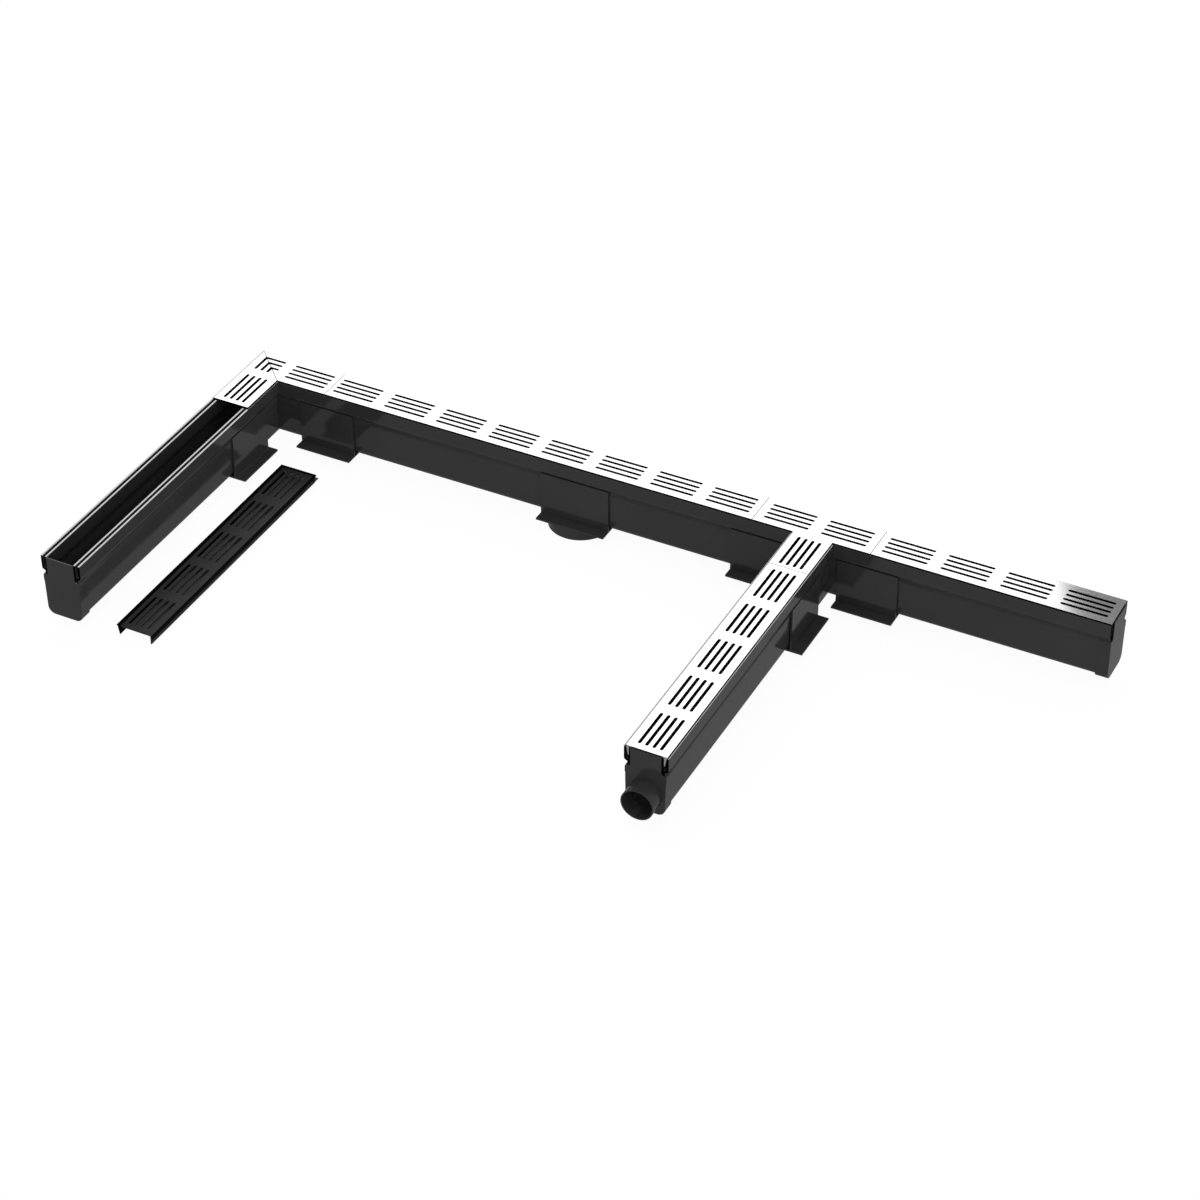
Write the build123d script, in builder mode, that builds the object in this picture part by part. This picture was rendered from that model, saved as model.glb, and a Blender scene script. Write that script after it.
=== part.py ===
"""A modular channel drain: an L corner, an open leg, a long run with a bottom outlet, a tee,
a leg with a pipe outlet and an arm with a closed end, with slotted gratings.

Millimetres, +Z up. The origin is under the middle of the whole layout, on the ground that the
bottom outlet stands on. The long run lies along X, and the two legs point to -Y.
"""
import os

from build123d import *

os.makedirs("parts", exist_ok=True)

# Layout: lengths along the centre lines of the channels
main_length = 795.0        # long straight channel with the bottom outlet
arm_length = 402.0         # straight channel right of the tee
leg_length = 500.0         # straight channel in front of the corner
tee_leg_length = 500.0     # straight channel in front of the tee
tee_length = 206.0         # through run of the tee
tee_branch_place = 106.5   # left end of the tee to the middle of its branch
tee_reach = 128.0          # tee centre line to the end of its branch
corner_reach = 128.0       # corner centre to the end of each of its arms
outlet_place = 476.0       # corner end of the long channel to the middle of its outlet saddle

# Channel section
channel_width = 73.0       # over the two outer lips
channel_height = 106.5     # lip tops to underside
wall = 2.5
outer_lip = 3.2
groove_width = 5.0
inner_lip = 3.0
groove_depth = 24.0        # lip tops to the groove's floor
housing_depth = 27.5       # lip tops to the underside of the groove's housing
neck_depth = 31.0          # lip tops to the foot of the waist below the housing
neck_inset = 5.6           # how far the waist lies inside the outer lip
shoulder_depth = 37.0      # lip tops to the shoulder of the body
shoulder_inset = 3.3       # body to the outer lip
band_depth = 43.5          # lip tops to the foot of the band round the body
band_step = 0.7
base_inset = 5.0           # how far the walls lean in by the underside
base_radius = 12.0

# Fits
seam_gap = 0.4             # between two channels, end to end
grate_gap = 1.2            # between two gratings, end to end
fit_gap = 0.3              # between a channel and what clips round it

# Gratings
plate_thickness = 2.4
plate_set_in = 2.0         # outer lip face to the plate's edge
plate_edge_round = 0.6
leg_depth = 15.5           # plate underside to the foot of its side legs
leg_foot = 1.5             # thickness of a side leg at its foot
leg_play = 0.4             # inner lip to the foot of the leg
slot_pitch = 99.7          # one group of slots to the next
slot_length = 78.5
slot_width = 5.5
slot_spacing = 11.9        # one slot of a group to the next
slots_across = 4
slot_end_sides = 8         # a slot's round ends are drawn as halves of a polygon with this many sides
corner_slot_centre = 79.2  # corner centre to the group of slots on each of its arms
tee_slot_centre = 82.4     # tee centre line to the group of slots on its branch
main_slot_shift = 2.2      # how far the long grating's slots lie off its middle, to the corner
chevron_reach = 21.0       # corner centre to the end of the L-shaped slots

# Clips and caps
clip_thickness = 2.9
saddle_length = 104.0
saddle_flange = 110.0      # over the two foot flanges
saddle_base = 3.0
saddle_shift = 2.0         # how far a saddle's middle lies past its joint
branch_saddle_shift = 8.0  # and past the joint of the tee's branch
tee_saddle_gap = 0.6       # tee branch to the saddle beside it
outlet_saddle_length = 125.0
cap_plate = 1.5
cap_side = 0.6             # thickness of a cap's sleeve beside the channel
cap_base = 3.0             # and under it
cap_sleeve = 19.5          # how far a cap reaches over the channel
cap_top_depth = 33.0       # lip tops to the upper edge of a cap's sleeve

# Outlets
stub_diameter = 54.0
stub_wall = 2.0
stub_length = 28.0
stub_depth = 78.5          # lip tops to the pipe's centre line
spigot_diameter = 110.0
spigot_wall = 3.0
spigot_length = 20.5       # below the outlet saddle
spigot_shift = 7.0         # how far it lies off the saddle's middle, to the corner
drain_slot_length = 90.0
drain_slot_width = 42.0

# The grating that is taken off lies on the ground beside the open leg
lifted_offset = 114.0      # leg centre line to grating centre line
lifted_shift = 22.0        # towards the long run

# Half widths and depths that follow
half = channel_width / 2
groove_middle = half - outer_lip - groove_width / 2
mouth_half = half - outer_lip - groove_width - inner_lip
neck_half = half - neck_inset
shoulder_half = half - shoulder_inset
base_half = half - base_inset
bore_neck_half = neck_half - wall
bore_round = bore_neck_half - mouth_half
clip_half = shoulder_half + fit_gap + clip_thickness
clip_top_depth = housing_depth + fit_gap
seat_depth = channel_height + fit_gap
plate_half = half - plate_set_in
leg_root_half = groove_width / 2 - fit_gap
leg_foot_inner = half - outer_lip - groove_width + leg_play

# Where everything stands
cap_reach = fit_gap + cap_plate
lip_z = spigot_length + saddle_base + seat_depth
seam = seam_gap / 2
grate_seam = grate_gap / 2
span_x = saddle_flange / 2 + corner_reach + main_length + tee_length + arm_length + cap_reach
span_y = saddle_flange / 2 + tee_reach + tee_leg_length + cap_reach + stub_length
corner_x = saddle_flange / 2 - span_x / 2
main_y = span_y / 2 - saddle_flange / 2
main_start = corner_x + corner_reach
tee_start = main_start + main_length
tee_x = tee_start + tee_branch_place
arm_start = tee_start + tee_length
arm_end = arm_start + arm_length
leg_start = main_y - corner_reach
leg_end = leg_start - leg_length
tee_leg_start = main_y - tee_reach
tee_leg_end = tee_leg_start - tee_leg_length
outlet_saddle_x = main_start + outlet_place
outlet_x = outlet_saddle_x - spigot_shift
slot_offsets = [(i - (slots_across - 1) / 2) * slot_spacing for i in range(slots_across)]
mitre = Plane(origin=(corner_x, main_y, 0), z_dir=(1, 1, 0))
mitre_run_side = mitre.offset(grate_seam)


def along_x(x):
    """Section plane of the long run: drawn across and up from the lips, extruded to +X."""
    return Plane(origin=(x, main_y, lip_z), x_dir=(0, 1, 0), z_dir=(1, 0, 0))


def along_leg(x, y):
    """Section plane of a leg: drawn across and up from the lips, extruded to -Y."""
    return Plane(origin=(x, y, lip_z), x_dir=(1, 0, 0), z_dir=(0, -1, 0))


# Outside of the channel: lips, rounded groove housings, waist, band and tapered body
with BuildSketch() as outside:
    with BuildLine():
        Polyline((0, 0), (half, 0), (half, neck_inset - housing_depth))
        TangentArc((half, neck_inset - housing_depth), (neck_half, -housing_depth), tangent=(0, -1))
        Polyline(
            (neck_half, -housing_depth),
            (neck_half, -neck_depth),
            (shoulder_half, -shoulder_depth),
            (shoulder_half, -band_depth),
            (shoulder_half - band_step, -band_depth),
            (base_half, -channel_height),
            (0, -channel_height),
        )
        mirror(about=Plane.YZ)
    make_face()
    fillet(outside.vertices().sort_by(Axis.Y)[:2], base_radius)

# Inside of the channel: the mouth between the inner lips widens below the groove housings
with BuildSketch() as bore:
    with BuildLine():
        Polyline((0, 0), (mouth_half, 0), (mouth_half, bore_round - housing_depth))
        TangentArc((mouth_half, bore_round - housing_depth), (bore_neck_half, -housing_depth), tangent=(0, -1))
        Polyline(
            (bore_neck_half, -housing_depth),
            (bore_neck_half, -neck_depth),
            (shoulder_half - wall, -shoulder_depth),
            (base_half - wall, wall - channel_height),
            (0, wall - channel_height),
        )
        mirror(about=Plane.YZ)
    make_face()
    fillet(bore.vertices().sort_by(Axis.Y)[:2], base_radius - wall)

# One groove between an outer and an inner lip, with a round floor
with BuildSketch() as groove:
    with Locations((0, -groove_depth / 2)):
        Rectangle(groove_width, groove_depth)
    fillet(groove.vertices().group_by(Axis.Y)[0], groove_width * 0.45)

with BuildSketch() as channel_section:
    add(outside.sketch)
    add(bore.sketch, mode=Mode.SUBTRACT)
    with Locations((groove_middle, 0), (-groove_middle, 0)):
        add(groove.sketch, mode=Mode.SUBTRACT)


def make_channel(plane, length):
    """Straight channel from a section plane."""
    with BuildPart() as channel:
        with BuildSketch(plane.offset(seam)):
            add(channel_section.sketch)
        extrude(amount=length - seam_gap)
    return channel.part


# Corner channel: one arm cut on the mitre, and its mirror image
with BuildPart() as corner_channel:
    with BuildSketch(along_x(corner_x - channel_width)):
        add(channel_section.sketch)
    extrude(amount=channel_width + corner_reach - seam)
    split(bisect_by=mitre, keep=Keep.TOP)
    mirror(about=mitre)

# Open leg in front of the corner
with BuildPart() as left_leg_channel:
    add(make_channel(along_leg(corner_x, leg_start), leg_length))

# Long channel, with the hole in its floor over the bottom outlet
with BuildPart() as main_channel:
    add(make_channel(along_x(main_start), main_length))
    with BuildSketch(Plane(origin=(outlet_x, main_y, lip_z - channel_height - fit_gap))):
        SlotOverall(drain_slot_length, drain_slot_width)
    extrude(amount=wall + 2 * fit_gap, mode=Mode.SUBTRACT)


def make_tee(section, end_gap):
    """Tee: half of its run and of its branch meet on a mitre, the other half mirrors them, and the
    run is cut to its length. All three ends keep half a gap to their neighbours."""
    centre = (tee_x, main_y, 0)
    with BuildSketch() as half_section:
        add(section)
        split(bisect_by=Plane.YZ, keep=Keep.BOTTOM)
    with BuildPart() as branch:
        with BuildSketch(along_leg(tee_x, main_y)):
            add(half_section.sketch)
        extrude(amount=tee_reach - end_gap)
        split(bisect_by=Plane(origin=centre, z_dir=(1, -1, 0)), keep=Keep.TOP)
    with BuildPart() as tee:
        with BuildSketch(along_x(tee_start + end_gap)):
            add(section)
        extrude(amount=tee_branch_place - end_gap)
        split(bisect_by=Plane(origin=centre, z_dir=(-1, 1, 0)), keep=Keep.TOP)
        add(branch.part)
        mirror(about=Plane(origin=centre, z_dir=(1, 0, 0)))
        split(bisect_by=Plane(origin=(arm_start - end_gap, main_y, 0), z_dir=(-1, 0, 0)), keep=Keep.TOP)
    return tee.part


with BuildPart() as tee_channel:
    add(make_tee(channel_section.sketch, seam))

# Leg in front of the tee, and the arm right of it
with BuildPart() as tee_leg_channel:
    add(make_channel(along_leg(tee_x, tee_leg_start), tee_leg_length))

with BuildPart() as right_arm_channel:
    add(make_channel(along_x(arm_start), arm_length))

# Room for a channel inside what clips round it
with BuildSketch() as clearance:
    offset(outside.sketch, amount=fit_gap, kind=Kind.INTERSECTION)

# End plate of a cap: round the body, with a tongue up between the inner lips
with BuildSketch() as cap_shell:
    offset(outside.sketch, amount=fit_gap + cap_side, kind=Kind.INTERSECTION)

with BuildSketch() as cap_outline:
    with Locations((0, 0), (0, cap_side - cap_base)):
        add(cap_shell.sketch)
    with Locations((0, channel_height - cap_top_depth)):
        Rectangle(2 * channel_width, 2 * channel_height, mode=Mode.SUBTRACT)
    with Locations((0, -cap_top_depth)):
        Rectangle(2 * mouth_half, 2 * cap_top_depth)
    split(bisect_by=Plane.XZ, keep=Keep.BOTTOM)

with BuildSketch() as cap_sleeve_section:
    add(cap_outline.sketch)
    add(clearance.sketch, mode=Mode.SUBTRACT)


def make_cap(plane):
    """Push-on cap: its plate lies against the channel's end, its sleeve reaches back over it."""
    with BuildPart() as cap:
        with BuildSketch(plane.offset(fit_gap)):
            add(cap_outline.sketch)
        extrude(amount=cap_plate)
        with BuildSketch(plane.offset(fit_gap)):
            add(cap_sleeve_section.sketch)
        extrude(amount=-cap_sleeve)
    return cap.part


with BuildPart() as left_end_cap:
    add(make_cap(along_leg(corner_x, leg_end)))

with BuildPart() as right_end_cap:
    add(make_cap(along_x(arm_end)))

# Cap with a pipe stub low on its plate
with BuildPart() as outlet_end_cap:
    add(make_cap(along_leg(tee_x, tee_leg_end)))
    stub_plane = along_leg(tee_x, tee_leg_end - fit_gap)
    with BuildSketch(stub_plane):
        with Locations((0, -stub_depth)):
            Circle(stub_diameter / 2)
    extrude(amount=cap_plate + stub_length)
    with BuildSketch(stub_plane):
        with Locations((0, -stub_depth)):
            Circle(stub_diameter / 2 - stub_wall)
    extrude(amount=cap_plate + stub_length, mode=Mode.SUBTRACT)

# Cradle under a channel: side plates that hook into the waist, and two foot flanges
with BuildSketch() as saddle_section:
    with Locations((0, -(clip_top_depth + seat_depth + saddle_base) / 2)):
        Rectangle(2 * clip_half, seat_depth + saddle_base - clip_top_depth)
    with Locations((0, -seat_depth - saddle_base / 2)):
        Rectangle(saddle_flange, saddle_base)
    add(clearance.sketch, mode=Mode.SUBTRACT)
    with Locations((0, -(shoulder_depth + seat_depth) / 2)):
        Rectangle(2 * (shoulder_half + fit_gap), seat_depth - shoulder_depth, mode=Mode.SUBTRACT)


def make_saddle(plane, length):
    """Saddle with its middle on a section plane."""
    with BuildPart() as saddle:
        with BuildSketch(plane):
            add(saddle_section.sketch)
        extrude(amount=length / 2, both=True)
    return saddle.part


with BuildPart() as corner_leg_saddle:
    add(make_saddle(along_leg(corner_x, leg_start - saddle_shift), saddle_length))

with BuildPart() as corner_main_saddle:
    add(make_saddle(along_x(main_start + saddle_shift), saddle_length))

with BuildPart() as main_tee_saddle:
    add(make_saddle(along_x(tee_x - half - tee_saddle_gap - saddle_length / 2), saddle_length))

with BuildPart() as tee_leg_saddle:
    add(make_saddle(along_leg(tee_x, tee_leg_start - branch_saddle_shift), saddle_length))

with BuildPart() as tee_arm_saddle:
    add(make_saddle(along_x(arm_start - saddle_shift), saddle_length))

# Longer saddle with the round spigot of the bottom outlet
with BuildPart() as outlet_saddle:
    add(make_saddle(along_x(outlet_saddle_x), outlet_saddle_length))
    with BuildSketch(Plane(origin=(outlet_x, main_y, 0))):
        Circle(spigot_diameter / 2)
        Circle(spigot_diameter / 2 - spigot_wall, mode=Mode.SUBTRACT)
    extrude(amount=spigot_length)
    with BuildSketch(Plane(origin=(outlet_x, main_y, spigot_length))):
        SlotOverall(drain_slot_length, drain_slot_width)
    extrude(amount=saddle_base, mode=Mode.SUBTRACT)

# Grating: a flat plate over both lips, with a tapered leg down into each groove
with BuildSketch() as plate_section:
    with Locations((0, plate_thickness / 2)):
        Rectangle(2 * plate_half, plate_thickness)
    fillet(plate_section.vertices().group_by(Axis.Y)[-1], plate_edge_round)

with BuildSketch() as grate_section:
    add(plate_section.sketch)
    with BuildLine():
        Polyline(
            (groove_middle - leg_root_half, 0),
            (groove_middle + leg_root_half, 0),
            (leg_foot_inner + leg_foot, -leg_depth),
            (leg_foot_inner, -leg_depth),
            close=True,
        )
    make_face()
    mirror(about=Plane.YZ)


def slot_outline(length):
    """One slot. The short straight steps of its round ends keep the gratings' meshes light."""
    end_centre = (length - slot_width) / 2
    with BuildSketch() as slot:
        Rectangle(2 * end_centre, slot_width)
        with Locations((-end_centre, 0), (end_centre, 0)):
            RegularPolygon(slot_width / 2, slot_end_sides)
    return slot.sketch


def cut_slots(x, y, groups, turn=0):
    """Rows of slots through a plate, round a point at the middle of its groups."""
    with BuildSketch(Plane(origin=(x, y, lip_z)).rotated((0, 0, turn))) as slots:
        with GridLocations(slot_pitch, slot_spacing, groups, slots_across):
            add(slot_outline(slot_length))
    extrude(slots.sketch, amount=plate_thickness, mode=Mode.SUBTRACT)


def make_grate(plane, length, slot_shift=0):
    """Grating for a straight channel, with as many groups of slots as fit."""
    groups = max(1, round(length / slot_pitch))
    middle = plane.offset(length / 2 - slot_shift).origin
    turn = 0 if plane.z_dir.X else 90
    with BuildPart() as grate:
        with BuildSketch(plane.offset(grate_seam)):
            add(grate_section.sketch)
        extrude(amount=length - grate_gap)
        cut_slots(middle.X, middle.Y, groups, turn)
    return grate.part


with BuildPart() as main_grate:
    add(make_grate(along_x(main_start), main_length, main_slot_shift))

with BuildPart() as right_arm_grate:
    add(make_grate(along_x(arm_start), arm_length))

with BuildPart() as tee_leg_grate:
    add(make_grate(along_leg(tee_x, tee_leg_start), tee_leg_length))

# The grating of the open leg, lying on its two legs on the ground
with BuildPart() as left_leg_grate:
    lowered = leg_depth - lip_z
    lifted = make_grate(along_leg(corner_x, leg_start), leg_length)
    add(Pos(lifted_offset, lifted_shift, lowered) * lifted)

# Corner grating in two mitred halves, with slots that turn the corner
with BuildPart() as corner_main_grate:
    with BuildSketch(along_x(corner_x - channel_width)):
        add(grate_section.sketch)
    extrude(amount=channel_width + corner_reach - grate_seam)
    cut_slots(corner_x + corner_slot_centre, main_y, 1)
    for slot_offset in slot_offsets[1:]:
        slot_end = corner_x + chevron_reach
        slot_start = corner_x - slot_offset - slot_spacing
        with BuildSketch(Plane(origin=((slot_start + slot_end) / 2, main_y + slot_offset, lip_z))):
            add(slot_outline(slot_end - slot_start))
        extrude(amount=plate_thickness, mode=Mode.SUBTRACT)
    split(bisect_by=mitre_run_side, keep=Keep.TOP)

with BuildPart() as corner_leg_grate:
    add(mirror(corner_main_grate.part, about=mitre, mode=Mode.PRIVATE))

# Tee grating: one plate over the run and the branch, with legs that turn round the mouth
with BuildPart() as tee_grate:
    add(make_tee(grate_section.sketch, grate_seam))
    cut_slots((tee_start + arm_start) / 2, main_y, round(tee_length / slot_pitch))
    cut_slots(tee_x, main_y - tee_slot_centre, 1, 90)

pieces = {
    "corner_channel": corner_channel,
    "left_leg_channel": left_leg_channel,
    "main_channel": main_channel,
    "tee_channel": tee_channel,
    "tee_leg_channel": tee_leg_channel,
    "right_arm_channel": right_arm_channel,
    "left_end_cap": left_end_cap,
    "right_end_cap": right_end_cap,
    "outlet_end_cap": outlet_end_cap,
    "corner_leg_saddle": corner_leg_saddle,
    "corner_main_saddle": corner_main_saddle,
    "main_tee_saddle": main_tee_saddle,
    "tee_leg_saddle": tee_leg_saddle,
    "tee_arm_saddle": tee_arm_saddle,
    "outlet_saddle": outlet_saddle,
    "corner_leg_grate": corner_leg_grate,
    "corner_main_grate": corner_main_grate,
    "main_grate": main_grate,
    "tee_grate": tee_grate,
    "tee_leg_grate": tee_leg_grate,
    "right_arm_grate": right_arm_grate,
    "left_leg_grate": left_leg_grate,
}
for name, piece in pieces.items():
    piece.part.label = name
    export_step(piece.part, f"parts/{name}.step")
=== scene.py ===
"""The looks of the channel drain: glossy black plastic channels, caps and saddles, brushed steel
gratings and one dark grating lifted out, on a white studio floor. Metres, +Z up.
"""
import math

import bpy
from mathutils import Euler, Matrix, Vector


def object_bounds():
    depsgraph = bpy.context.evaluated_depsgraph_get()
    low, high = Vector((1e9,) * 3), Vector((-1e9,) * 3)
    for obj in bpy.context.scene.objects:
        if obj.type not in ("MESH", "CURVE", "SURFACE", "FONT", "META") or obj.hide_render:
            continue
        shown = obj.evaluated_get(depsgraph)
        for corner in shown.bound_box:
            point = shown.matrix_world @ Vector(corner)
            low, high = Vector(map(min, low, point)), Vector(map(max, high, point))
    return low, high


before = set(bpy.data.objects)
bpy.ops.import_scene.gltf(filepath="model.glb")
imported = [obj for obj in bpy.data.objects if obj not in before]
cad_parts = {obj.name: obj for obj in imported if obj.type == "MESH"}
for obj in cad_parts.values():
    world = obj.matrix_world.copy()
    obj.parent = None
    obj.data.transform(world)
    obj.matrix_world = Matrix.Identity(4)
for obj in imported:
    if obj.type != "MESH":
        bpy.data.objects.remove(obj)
cad_low, cad_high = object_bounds()

# Camera: above the open side of the layout, to the right of its middle, looking down on it.
# Its place and lens are fitted to the slots and the channel ends in the photo.
camera_place = Vector((1.8622, -3.5460, 3.1329))
view_azimuth = 27.092
view_elevation = 37.248
view_roll = 0.059
picture_width = 1200
focal_length_px = 3206.6
sensor_width = 36.0
view_reach = 100
bpy.ops.object.select_all(action="DESELECT")
bpy.ops.object.camera_add(location=camera_place)
camera = bpy.context.object
camera.name = "studio_camera"
level_view = Euler((math.radians(90 - view_elevation), 0, math.radians(view_azimuth))).to_matrix()
camera.rotation_euler = (level_view @ Matrix.Rotation(math.radians(-view_roll), 3, "Z")).to_euler()
camera.data.sensor_width = sensor_width
camera.data.lens = focal_length_px / picture_width * sensor_width
camera.data.clip_end = view_reach
bpy.context.scene.camera = camera

# Studio lights: one wide softbox behind and to the left, which the gratings mirror to the camera,
# a broad ceiling light and a weaker front light that keeps the other sides from going dark.
layout_middle = (cad_low + cad_high) / 2


def add_softbox(name, place, width, height, radiance):
    """Area light that faces the middle of the layout. Radiance 1 looks white."""
    bpy.ops.object.light_add(type="AREA", location=place)
    softbox = bpy.context.object
    softbox.name = name
    softbox.data.shape = "RECTANGLE"
    softbox.data.size = width
    softbox.data.size_y = height
    softbox.data.energy = radiance * math.pi * width * height
    softbox.rotation_euler = (Vector(place) - layout_middle).to_track_quat("Z", "Y").to_euler()


add_softbox("back_softbox", place=(-1.8, 2.55, 2.35), width=3.57, height=1.9, radiance=1.45)
add_softbox("ceiling_softbox", place=(0.2, -0.3, 3.6), width=4.0, height=3.2, radiance=0.52)
add_softbox("front_softbox", place=(2.6, -2.6, 1.9), width=2.0, height=1.4, radiance=1.0)

# Surroundings: a white room that the camera sees, and a grey one that lights the object and
# shows in its gloss.
room_grey = 0.26
world = bpy.data.worlds.new("white_room")
bpy.context.scene.world = world
world.use_nodes = True
room = world.node_tree
room.nodes.clear()
room_paths = room.nodes.new("ShaderNodeLightPath")
room_seen = room.nodes.new("ShaderNodeBackground")
room_seen.inputs["Color"].default_value = (1, 1, 1, 1)
room_light = room.nodes.new("ShaderNodeBackground")
room_light.inputs["Color"].default_value = (1, 1, 1, 1)
room_light.inputs["Strength"].default_value = room_grey
room_mix = room.nodes.new("ShaderNodeMixShader")
room_out = room.nodes.new("ShaderNodeOutputWorld")
room.links.new(room_paths.outputs["Is Camera Ray"], room_mix.inputs["Fac"])
room.links.new(room_light.outputs["Background"], room_mix.inputs[1])
room.links.new(room_seen.outputs["Background"], room_mix.inputs[2])
room.links.new(room_mix.outputs["Shader"], room_out.inputs["Surface"])

# Floor: white board that the outlet stands on. It keeps a faint shadow for the camera, and shows
# as an even grey in the gloss of the part. A patch of painted shadow under the lifted grating, a
# dull grey, makes its slots dark, as the photo has them. It starts inside the near end and reaches
# past the far end.
floor_size = 30
floor_shadow_share = 0.15
floor_gloss_grey = 0.3
floor_white = 1.12
floor_lit_grey = 0.8
painted_shadow_grey = 0.22
under_left_margin = 0.002
under_right_margin = 0.005
under_front_margin = 0.02
under_back_reach = 0.015
under_blur = 0.0005


def node_box(node):
    """Lowest and highest corner of a CAD node."""
    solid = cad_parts[node]
    corners = [Vector(corner) for corner in solid.bound_box]
    low = Vector([min(corner[i] for corner in corners) for i in range(3)])
    high = Vector([max(corner[i] for corner in corners) for i in range(3)])
    return low, high


def add_step(tree, axis, edge, blur, above):
    """Mask from the place along one axis: 1 above the edge (or below it), 0 on the other side."""
    place = tree.nodes.new("ShaderNodeTexCoord")
    split = tree.nodes.new("ShaderNodeSeparateXYZ")
    step = tree.nodes.new("ShaderNodeMapRange")
    step.inputs["From Min"].default_value = edge - blur
    step.inputs["From Max"].default_value = edge + blur
    step.inputs["To Min"].default_value = 0 if above else 1
    step.inputs["To Max"].default_value = 1 if above else 0
    tree.links.new(place.outputs["Object"], split.inputs["Vector"])
    tree.links.new(split.outputs[axis], step.inputs["Value"])
    return step.outputs["Result"]


def join_masks(tree, operation, first, *others):
    """Multiplies masks, or takes the largest."""
    for other in others:
        joint = tree.nodes.new("ShaderNodeMath")
        joint.operation = operation
        tree.links.new(first, joint.inputs[0])
        tree.links.new(other, joint.inputs[1])
        first = joint.outputs["Value"]
    return first


bpy.ops.mesh.primitive_plane_add(size=floor_size, location=(0, 0, cad_low.z))
floor = bpy.context.object
floor.name = "studio_floor"
floor_paint = bpy.data.materials.new("white_floor")
floor_paint.use_nodes = True
board = floor_paint.node_tree
board.nodes.clear()
board_paths = board.nodes.new("ShaderNodeLightPath")
board_lit = board.nodes.new("ShaderNodeBsdfDiffuse")
board_lit.inputs["Color"].default_value = [floor_lit_grey] * 3 + [1]
board_white = board.nodes.new("ShaderNodeEmission")
board_white.inputs["Strength"].default_value = floor_white
board_pale = board.nodes.new("ShaderNodeEmission")
board_pale.inputs["Strength"].default_value = floor_gloss_grey
board_painted_shadow = board.nodes.new("ShaderNodeBsdfDiffuse")
board_painted_shadow.inputs["Color"].default_value = [painted_shadow_grey] * 3 + [1]
board_camera = board.nodes.new("ShaderNodeMixShader")
board_camera.inputs["Fac"].default_value = floor_shadow_share
board_gloss = board.nodes.new("ShaderNodeMixShader")
board_mix = board.nodes.new("ShaderNodeMixShader")
board_shadow_mix = board.nodes.new("ShaderNodeMixShader")
board_out = board.nodes.new("ShaderNodeOutputMaterial")
board.links.new(board_white.outputs["Emission"], board_camera.inputs[1])
board.links.new(board_lit.outputs["BSDF"], board_camera.inputs[2])
board.links.new(board_paths.outputs["Is Glossy Ray"], board_gloss.inputs["Fac"])
board.links.new(board_lit.outputs["BSDF"], board_gloss.inputs[1])
board.links.new(board_pale.outputs["Emission"], board_gloss.inputs[2])
board.links.new(board_paths.outputs["Is Camera Ray"], board_mix.inputs["Fac"])
board.links.new(board_gloss.outputs["Shader"], board_mix.inputs[1])
board.links.new(board_camera.outputs["Shader"], board_mix.inputs[2])
board.links.new(board_mix.outputs["Shader"], board_shadow_mix.inputs[1])
board.links.new(board_painted_shadow.outputs["BSDF"], board_shadow_mix.inputs[2])
board.links.new(board_shadow_mix.outputs["Shader"], board_out.inputs["Surface"])
# Painted shadow: under the lifted grating the floor is a dull grey diffuse in place of the white.
under_low, under_high = node_box("left_leg_grate")
painted_shadow_under_grating = join_masks(
    board, "MULTIPLY",
    add_step(board, "X", under_low.x + under_left_margin, under_blur, above=True),
    add_step(board, "X", under_high.x - under_right_margin, under_blur, above=False),
    add_step(board, "Y", under_low.y + under_front_margin, under_blur, above=True),
    add_step(board, "Y", under_high.y + under_back_reach, under_blur, above=False))
board.links.new(painted_shadow_under_grating, board_shadow_mix.inputs["Fac"])
floor.data.materials.append(floor_paint)

# Channels: straight lengths, a corner and a tee of glossy black plastic, extruded or moulded, and
# butted end to end in the saddles. To come near the photo, the lip tops shine, the cut ends carry
# painted shade that makes them black, and painted light gives the open leg's right side a
# lighter tone.
plastic_black = 0.068
plastic_roughness = 0.1
plastic_ior = 1.47
cloud_detail = 4
tone_spread = 0.2
smoothest_share = 0.7
cloudiest_share = 1.4
painted_light_share = 1.4
painted_light_inset = 0.02
painted_light_reach = 0.004
cap_face_skin = 0.0003
painted_light_blur = 0.0002
place_blur = 0.001
open_leg_low, open_leg_high = node_box("left_leg_channel")
open_cap_face = node_box("left_end_cap")[0].y
run_front = node_box("main_channel")[0].y


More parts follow.
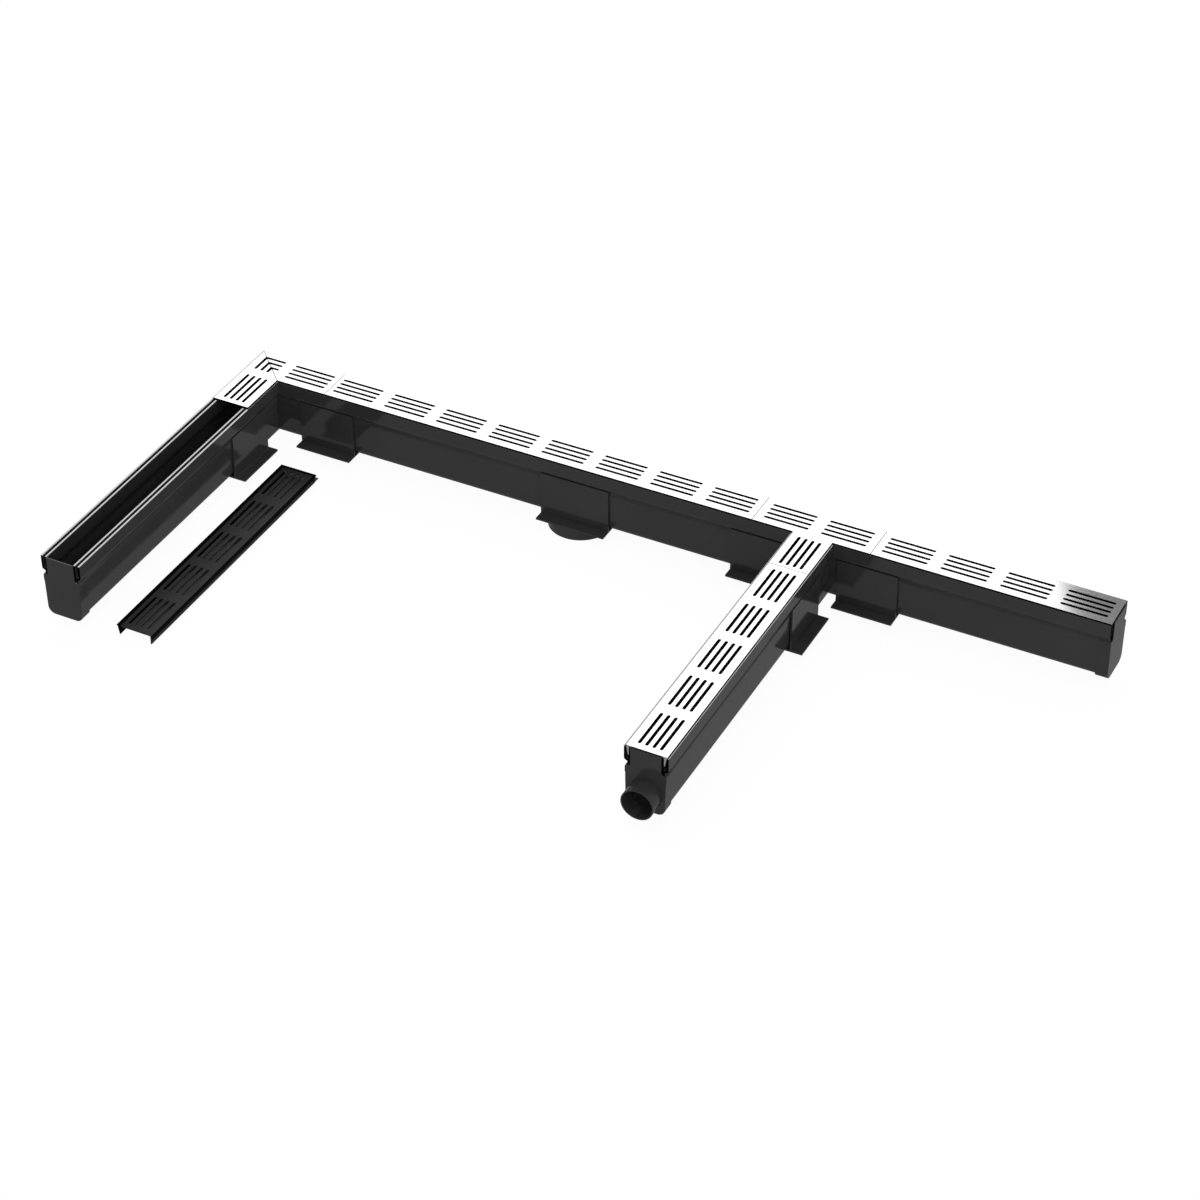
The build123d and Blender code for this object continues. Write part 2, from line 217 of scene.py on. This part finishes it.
def make_plastic(name, black, roughness, cloud_scale):
    """Black plastic, a little uneven in tone and gloss, with painted light on the open leg's right
    side.
    Its node "tone" gives the colour.
    """
    plastic = bpy.data.materials.new(name)
    plastic.use_nodes = True
    tree = plastic.node_tree
    skin = tree.nodes["Principled BSDF"]
    skin.inputs["IOR"].default_value = plastic_ior
    place = tree.nodes.new("ShaderNodeTexCoord")
    clouds = tree.nodes.new("ShaderNodeTexNoise")
    clouds.inputs["Scale"].default_value = cloud_scale
    clouds.inputs["Detail"].default_value = cloud_detail
    cloudy_tone = tree.nodes.new("ShaderNodeMapRange")
    cloudy_tone.inputs["To Min"].default_value = black * (1 - tone_spread)
    cloudy_tone.inputs["To Max"].default_value = black * (1 + tone_spread)
    gloss = tree.nodes.new("ShaderNodeMapRange")
    gloss.inputs["To Min"].default_value = roughness * smoothest_share
    gloss.inputs["To Max"].default_value = roughness * cloudiest_share
    # Painted light: the open leg's right outer side, between its cap and the run, gets a lighter
    # tone.
    painted_light_side = join_masks(
        tree, "MULTIPLY",
        add_step(tree, "Y", run_front, place_blur, above=False),
        add_step(tree, "Y", open_cap_face + cap_face_skin, painted_light_blur, above=True),
        add_step(tree, "X", open_leg_high.x - painted_light_inset, painted_light_blur, above=True),
        add_step(tree, "X", open_leg_high.x + painted_light_reach, painted_light_blur, above=False))
    painted_light_tone = tree.nodes.new("ShaderNodeMapRange")
    painted_light_tone.inputs["To Min"].default_value = 1
    painted_light_tone.inputs["To Max"].default_value = painted_light_share
    tone = tree.nodes.new("ShaderNodeMath")
    tone.name = "tone"
    tone.operation = "MULTIPLY"
    tree.links.new(place.outputs["Object"], clouds.inputs["Vector"])
    tree.links.new(clouds.outputs["Fac"], cloudy_tone.inputs["Value"])
    tree.links.new(clouds.outputs["Fac"], gloss.inputs["Value"])
    tree.links.new(painted_light_side, painted_light_tone.inputs["Value"])
    tree.links.new(cloudy_tone.outputs["Result"], tone.inputs[0])
    tree.links.new(painted_light_tone.outputs["Result"], tone.inputs[1])
    tree.links.new(tone.outputs["Value"], skin.inputs["Base Color"])
    tree.links.new(gloss.outputs["Result"], skin.inputs["Roughness"])
    return plastic


def darken(material, mask, dark_tone, shine, dark_shine):
    """Paints shade on the masked places of a plastic: a darker tone and a weaker gloss."""
    tree = material.node_tree
    skin = tree.nodes["Principled BSDF"]
    tone_mix = tree.nodes.new("ShaderNodeMix")
    tone_mix.inputs["B"].default_value = dark_tone
    shine_mix = tree.nodes.new("ShaderNodeMapRange")
    shine_mix.inputs["To Min"].default_value = shine
    shine_mix.inputs["To Max"].default_value = dark_shine
    tree.links.new(mask, tone_mix.inputs["Factor"])
    tree.links.new(tree.nodes["tone"].outputs["Value"], tone_mix.inputs["A"])
    tree.links.new(tone_mix.outputs["Result"], skin.inputs["Base Color"])
    tree.links.new(mask, shine_mix.inputs["Value"])
    tree.links.new(shine_mix.outputs["Result"], skin.inputs["Specular IOR Level"])


def dress(nodes, material):
    """Gives CAD nodes their finish."""
    for node in nodes:
        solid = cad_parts[node]
        solid.data.materials.clear()
        solid.data.materials.append(material)


lip_height = open_leg_high.z
arm_end = node_box("right_arm_channel")[1].x
lip_skin = 0.0002
skin_blur = 0.00005
joint_blur = 0.0005
side_blur = 0.0001
run_lip_shine = 0.2
leg_lip_shine = 0.85
open_lip_shine = 1
lip_coat_ior = 3.2
lip_coat_roughness = 0.12
channel_plastic = make_plastic("channel_plastic", plastic_black, plastic_roughness, cloud_scale=9)
channel_tree = channel_plastic.node_tree
channel_skin = channel_tree.nodes["Principled BSDF"]
lip_tops = add_step(channel_tree, "Z", lip_height - lip_skin, skin_blur, above=True)
leg_lips = add_step(channel_tree, "Y", run_front, place_blur, above=False)
open_lips = join_masks(
    channel_tree, "MULTIPLY",
    add_step(channel_tree, "Y", open_leg_high.y, joint_blur, above=False),
    add_step(channel_tree, "X", open_leg_high.x + lip_skin, side_blur, above=False))
lip_shine = channel_tree.nodes.new("ShaderNodeMix")
lip_shine.inputs["A"].default_value = run_lip_shine
lip_shine.inputs["B"].default_value = leg_lip_shine
open_shine = channel_tree.nodes.new("ShaderNodeMix")
open_shine.inputs["B"].default_value = open_lip_shine
channel_tree.links.new(leg_lips, lip_shine.inputs["Factor"])
channel_tree.links.new(open_lips, open_shine.inputs["Factor"])
channel_tree.links.new(lip_shine.outputs["Result"], open_shine.inputs["A"])
polished_lips = join_masks(channel_tree, "MULTIPLY", lip_tops, open_shine.outputs["Result"])
channel_tree.links.new(polished_lips, channel_skin.inputs["Coat Weight"])
channel_skin.inputs["Coat IOR"].default_value = lip_coat_ior
channel_skin.inputs["Coat Roughness"].default_value = lip_coat_roughness
# Painted shade: the open leg's front cut end and the arm's far cut end are black, with no gloss.
painted_shade_ends = join_masks(
    channel_tree, "MAXIMUM",
    add_step(channel_tree, "Y", open_leg_low.y + lip_skin, skin_blur, above=False),
    add_step(channel_tree, "X", arm_end - lip_skin, skin_blur, above=True))
darken(channel_plastic, painted_shade_ends, dark_tone=0.002, shine=0.5, dark_shine=0)
dress(["corner_channel", "left_leg_channel", "main_channel", "tee_channel", "tee_leg_channel",
       "right_arm_channel"], channel_plastic)

# Caps: plates with a sleeve, moulded in the same black plastic and pushed over the channel ends.
# The one at the tee's leg has a pipe stub moulded on.
cap_plastic = make_plastic("cap_plastic", plastic_black, plastic_roughness, cloud_scale=14)
dress(["left_end_cap", "right_end_cap", "outlet_end_cap"], cap_plastic)

# Saddles: cradles moulded in the same black plastic and clipped round each joint of the channels
# from below, and the longer one with the round spigot of the bottom outlet.
saddle_plastic = make_plastic("saddle_plastic", plastic_black, plastic_roughness, cloud_scale=14)
dress(["corner_leg_saddle", "corner_main_saddle", "main_tee_saddle", "tee_leg_saddle",
       "tee_arm_saddle", "outlet_saddle"], saddle_plastic)

# Gratings: slotted stainless sheet, pressed, brushed along its length and laid loose in the
# grooves, so the grain turns with each leg. To come near the photo, painted shade makes the
# sheets' edges black but for the tee leg's near end, and painted shade darkens a line along the
# left edge of both legs' sheets.
steel_tones = (0.68, 0.82)
steel_roughness = (0.05, 0.13)
streak_length = 0.08
streak_width = 0.0012
streak_detail = 3
edge_skin = 0.00006
bend_width = 0.0018
bend_blur = 0.0003
bend_painted_shade_share = 0.3
plate_top = node_box("main_grate")[1].z
tee_sheet = node_box("tee_leg_grate")[0]
corner_sheet = node_box("corner_leg_grate")[0]


def make_steel(name, grain):
    """Brushed stainless steel. The grain is the streaks' size along X, Y and Z."""
    steel = bpy.data.materials.new(name)
    steel.use_nodes = True
    tree = steel.node_tree
    skin = tree.nodes["Principled BSDF"]
    skin.inputs["Metallic"].default_value = 1
    place = tree.nodes.new("ShaderNodeTexCoord")
    stretch = tree.nodes.new("ShaderNodeMapping")
    stretch.inputs["Scale"].default_value = [1 / size for size in grain]
    streaks = tree.nodes.new("ShaderNodeTexNoise")
    streaks.inputs["Scale"].default_value = 1
    streaks.inputs["Detail"].default_value = streak_detail
    tone = tree.nodes.new("ShaderNodeMapRange")
    tone.inputs["To Min"].default_value = steel_tones[0]
    tone.inputs["To Max"].default_value = steel_tones[1]
    polish = tree.nodes.new("ShaderNodeMapRange")
    polish.inputs["To Min"].default_value = steel_roughness[0]
    polish.inputs["To Max"].default_value = steel_roughness[1]
    tree.links.new(place.outputs["Object"], stretch.inputs["Vector"])
    tree.links.new(stretch.outputs["Vector"], streaks.inputs["Vector"])
    tree.links.new(streaks.outputs["Fac"], tone.inputs["Value"])
    tree.links.new(streaks.outputs["Fac"], polish.inputs["Value"])
    # Painted shade: between lip height and the sheet's top, its edges and slot walls are black,
    # but for the tee leg's near end.
    outside_painted_shade = join_masks(
        tree, "MAXIMUM",
        add_step(tree, "Z", plate_top - edge_skin, edge_skin / 2, above=True),
        add_step(tree, "Z", lip_height - edge_skin, edge_skin / 2, above=False),
        add_step(tree, "Y", tee_sheet.y + edge_skin, edge_skin / 2, above=False))
    # Painted shade: a darker line along the left edge of the legs' sheets, where they bend down.
    tee_bend = join_masks(
        tree, "MULTIPLY",
        add_step(tree, "X", tee_sheet.x + bend_width, bend_blur, above=False),
        add_step(tree, "X", tee_sheet.x - bend_width, bend_blur, above=True),
        add_step(tree, "Y", run_front, bend_blur, above=False))
    corner_bend = add_step(tree, "X", corner_sheet.x + bend_width, bend_blur, above=False)
    bend_painted_shade = tree.nodes.new("ShaderNodeMapRange")
    bend_painted_shade.inputs["To Min"].default_value = 1
    bend_painted_shade.inputs["To Max"].default_value = bend_painted_shade_share
    tree.links.new(join_masks(tree, "MAXIMUM", tee_bend, corner_bend), bend_painted_shade.inputs["Value"])
    sheet_tone = join_masks(tree, "MULTIPLY", tone.outputs["Result"], outside_painted_shade,
                            bend_painted_shade.outputs["Result"])
    tree.links.new(sheet_tone, skin.inputs["Base Color"])
    tree.links.new(polish.outputs["Result"], skin.inputs["Roughness"])
    return steel


run_steel = make_steel("steel_brushed_along_run", (streak_length, streak_width, streak_width))
leg_steel = make_steel("steel_brushed_along_leg", (streak_width, streak_length, streak_width))
dress(["corner_main_grate", "main_grate", "tee_grate", "right_arm_grate"], run_steel)
dress(["corner_leg_grate", "tee_leg_grate"], leg_steel)

# Lifted grating: a slotted sheet like the others, taken off and laid beside the open leg. To come
# near the photo, its finish is a dull dark one made as the plastic's is, and painted shade makes
# black bands along its sides and across its far end.
left_shade_band = 0.008
right_shade_band = 0.003
far_shade_band = 0.006
wide_blur = 0.0008
narrow_blur = 0.0005
lifted_low, lifted_high = node_box("left_leg_grate")
dark_sheet = make_plastic("dark_grating", black=0.038, roughness=0.45, cloud_scale=30)
sheet_tree = dark_sheet.node_tree
# Painted shade: black bands along the sheet's sides and across its far end.
painted_shade_bands = join_masks(
    sheet_tree, "MAXIMUM",
    add_step(sheet_tree, "X", lifted_low.x + left_shade_band, wide_blur, above=False),
    add_step(sheet_tree, "X", lifted_high.x - right_shade_band, narrow_blur, above=True),
    add_step(sheet_tree, "Y", lifted_high.y - far_shade_band, wide_blur, above=True))
darken(dark_sheet, painted_shade_bands, dark_tone=0.004, shine=0.3, dark_shine=0.02)
dress(["left_leg_grate"], dark_sheet)

bpy.context.scene.view_settings.view_transform = "Standard"
